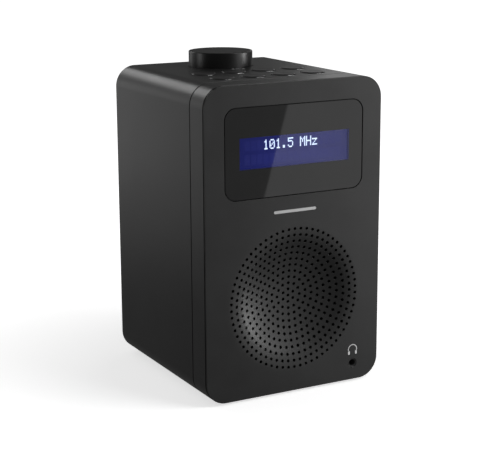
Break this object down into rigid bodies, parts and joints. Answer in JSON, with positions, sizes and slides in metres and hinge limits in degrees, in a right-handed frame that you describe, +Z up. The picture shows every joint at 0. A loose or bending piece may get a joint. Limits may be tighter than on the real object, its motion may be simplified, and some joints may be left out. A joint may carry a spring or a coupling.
{
  "type": "tabletop radio",
  "caption": "Upright portable tabletop radio with a dished speaker grille, a character display, top buttons, a push-and-turn knob and a folding telescopic antenna.",
  "frame": {"origin": "on the table, below the middle of the overall box, level with the undersides of the feet", "axes": "+Z up, the front face with grille and display towards -Y, +X to the right as seen from the front"},
  "size_m": [0.11, 0.124, 0.1843],
  "materials": {
    "cabinet_plastic": "black moulded plastic, finely textured",
    "panel_plastic": "black moulded plastic, satin",
    "button_plastic": "black moulded plastic, satin",
    "knob_plastic": "black, fine matte top and glossy side",
    "lens_acrylic": "smoked clear acrylic, polished",
    "lcd_glass": "blue backlit liquid crystal display",
    "rubber": "black, matte",
    "silicone": "grey silicone",
    "board": "green printed circuit board",
    "paper": "black pulp",
    "ribbon": "white flat cable",
    "steel": "zinc plated",
    "chrome": "polished",
    "copper": "enamelled copper wire"
  },
  "bodies": {
    "housing": {"cabinet_shell": "cabinet_plastic", "front_frame": "cabinet_plastic", "front_panel": "panel_plastic", "display_lens": "lens_acrylic", "lcd_bezel": "steel", "lcd_glass": "lcd_glass", "display_board": "board", "display_ribbon": "ribbon", "speaker_gasket": "rubber", "speaker_basket": "steel", "speaker_surround": "rubber", "speaker_spider": "paper", "speaker_magnet": "steel", "speaker_screw_1": "steel", "speaker_screw_2": "steel", "speaker_screw_3": "steel", "speaker_screw_4": "steel", "speaker_lead": "rubber", "headphone_jack": "rubber", "main_board": "board", "tuner_module": "steel", "key_board": "board", "key_mat": "silicone", "encoder_body": "steel", "rear_cover": "cabinet_plastic", "battery_contact_upper": "steel", "battery_contact_lower": "steel", "power_inlet": "rubber", "rear_screw_1": "steel", "rear_screw_2": "steel", "rear_screw_3": "steel", "rear_screw_4": "steel", "antenna_lead": "rubber", "foot_front_left": "rubber", "foot_front_right": "rubber", "foot_back_left": "rubber", "foot_back_right": "rubber"},
    "speaker_cone": {"speaker_cone": "paper", "speaker_dust_cap": "paper", "voice_coil": "copper"},
    "button_1": {"button_1": "button_plastic"},
    "button_2": {"button_2": "button_plastic"},
    "button_3": {"button_3": "button_plastic"},
    "button_4": {"button_4": "button_plastic"},
    "button_5": {"button_5": "button_plastic"},
    "button_6": {"button_6": "button_plastic"},
    "button_7": {"button_7": "button_plastic"},
    "button_8": {"button_8": "button_plastic"},
    "knob_push": {"encoder_plunger": "silicone"},
    "knob": {"knob": "knob_plastic", "encoder_shaft": "chrome"},
    "battery_door": {"battery_door": "cabinet_plastic"},
    "antenna_swivel": {"antenna_swivel": "chrome", "antenna_pin": "steel"},
    "antenna_elbow": {"antenna_elbow": "chrome", "antenna_section_1": "chrome"},
    "antenna_section_2": {"antenna_section_2": "chrome"},
    "antenna_section_3": {"antenna_section_3": "chrome"},
    "antenna_section_4": {"antenna_section_4": "chrome", "antenna_tip": "chrome"}
  },
  "joints": [
    {"name": "speaker_cone_stroke", "type": "slide", "parent": "housing", "child": "speaker_cone", "axis": [0, -1, 0], "range_m": [-0.0015, 0.0015], "stiffness_N_per_m": 1200},
    {"name": "button_1_press", "type": "slide", "parent": "housing", "child": "button_1", "axis": [0, 0, -1], "range_m": [0, 0.0007], "stiffness_N_per_m": 1000, "springref_m": -0.001},
    {"name": "button_2_press", "type": "slide", "parent": "housing", "child": "button_2", "axis": [0, 0, -1], "range_m": [0, 0.0007], "stiffness_N_per_m": 1000, "springref_m": -0.001},
    {"name": "button_3_press", "type": "slide", "parent": "housing", "child": "button_3", "axis": [0, 0, -1], "range_m": [0, 0.0007], "stiffness_N_per_m": 1000, "springref_m": -0.001},
    {"name": "button_4_press", "type": "slide", "parent": "housing", "child": "button_4", "axis": [0, 0, -1], "range_m": [0, 0.0007], "stiffness_N_per_m": 1000, "springref_m": -0.001},
    {"name": "button_5_press", "type": "slide", "parent": "housing", "child": "button_5", "axis": [0, 0, -1], "range_m": [0, 0.0007], "stiffness_N_per_m": 1000, "springref_m": -0.001},
    {"name": "button_6_press", "type": "slide", "parent": "housing", "child": "button_6", "axis": [0, 0, -1], "range_m": [0, 0.0007], "stiffness_N_per_m": 1000, "springref_m": -0.001},
    {"name": "button_7_press", "type": "slide", "parent": "housing", "child": "button_7", "axis": [0, 0, -1], "range_m": [0, 0.0007], "stiffness_N_per_m": 1000, "springref_m": -0.001},
    {"name": "button_8_press", "type": "slide", "parent": "housing", "child": "button_8", "axis": [0, 0, -1], "range_m": [0, 0.0007], "stiffness_N_per_m": 1000, "springref_m": -0.001},
    {"name": "knob_press", "type": "slide", "parent": "housing", "child": "knob_push", "axis": [0, 0, -1], "range_m": [0, 0.0005], "stiffness_N_per_m": 2000, "springref_m": -0.001},
    {"name": "knob_turn", "type": "hinge", "parent": "knob_push", "child": "knob", "pos_m": [0, 0.0248, 0.18], "axis": [0, 0, 1], "continuous": true},
    {"name": "battery_door_pull", "type": "slide", "parent": "housing", "child": "battery_door", "axis": [0, 1, 0], "range_m": [0, 0.025]},
    {"name": "antenna_turn", "type": "hinge", "parent": "housing", "child": "antenna_swivel", "pos_m": [0.038, 0.0582, 0.152], "axis": [0, 1, 0], "range_deg": [-180, 180]},
    {"name": "antenna_tilt", "type": "hinge", "parent": "antenna_swivel", "child": "antenna_elbow", "pos_m": [0.038, 0.0582, 0.152], "axis": [1, 0, 0], "range_deg": [0, 90]},
    {"name": "antenna_extend_2", "type": "slide", "parent": "antenna_elbow", "child": "antenna_section_2", "axis": [0, 0, -1], "range_m": [0, 0.085]},
    {"name": "antenna_extend_3", "type": "slide", "parent": "antenna_section_2", "child": "antenna_section_3", "axis": [0, 0, -1], "range_m": [0, 0.085]},
    {"name": "antenna_extend_4", "type": "slide", "parent": "antenna_section_3", "child": "antenna_section_4", "axis": [0, 0, -1], "range_m": [0, 0.085]}
  ]
}
